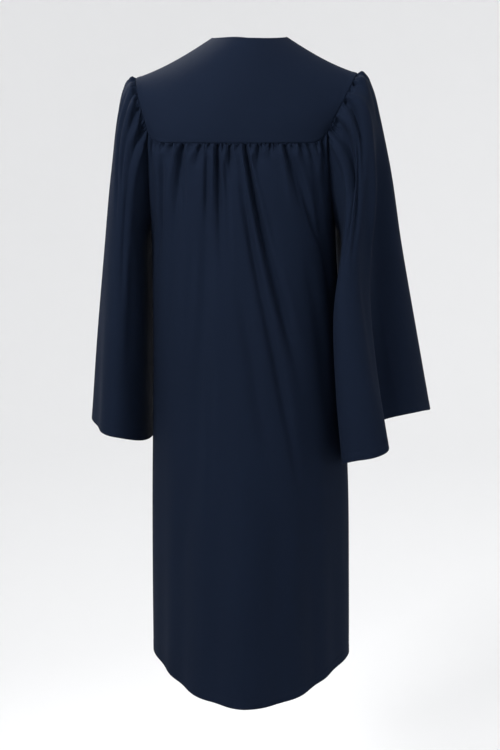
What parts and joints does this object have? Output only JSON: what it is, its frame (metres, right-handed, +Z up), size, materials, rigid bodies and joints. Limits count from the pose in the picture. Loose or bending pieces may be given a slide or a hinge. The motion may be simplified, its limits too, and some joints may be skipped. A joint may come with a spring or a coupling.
{
  "type": "graduation gown",
  "caption": "Long open-necked academic gown with a plain yoke, gathered back and fronts, wide bell sleeves and a front zip, hollow as if worn.",
  "frame": {"origin": "centre of the neck opening, level with the shoulder seams' neck ends, where the yoke lies on the wearer", "axes": "+Z up, -Y the way the wearer faces, +X to the wearer's left"},
  "size_m": [0.7167, 0.4518, 1.3056],
  "materials": {
    "navy_cloth": "matt plain-woven polyester, navy",
    "zip_tape": "close woven tape, navy",
    "zip_teeth": "satin coil teeth, navy",
    "zip_metal": "satin paint, navy"
  },
  "bodies": {
    "gown": {"yoke_back": "navy_cloth", "yoke_front_left": "navy_cloth", "yoke_front_right": "navy_cloth", "back_panel": "navy_cloth", "front_left": "navy_cloth", "front_right": "navy_cloth", "sleeve_left": "navy_cloth", "sleeve_right": "navy_cloth", "zip_tape": "zip_tape", "zip_chain": "zip_teeth", "zip_slider": "zip_metal"},
    "pull_tab": {"zip_pull": "zip_metal"}
  },
  "joints": [
    {"name": "pull_hinge", "type": "hinge", "parent": "gown", "child": "pull_tab", "pos_m": [0, -0.12334, -0.19032], "axis": [-1, 0, 0], "range_deg": [0, 150]}
  ]
}
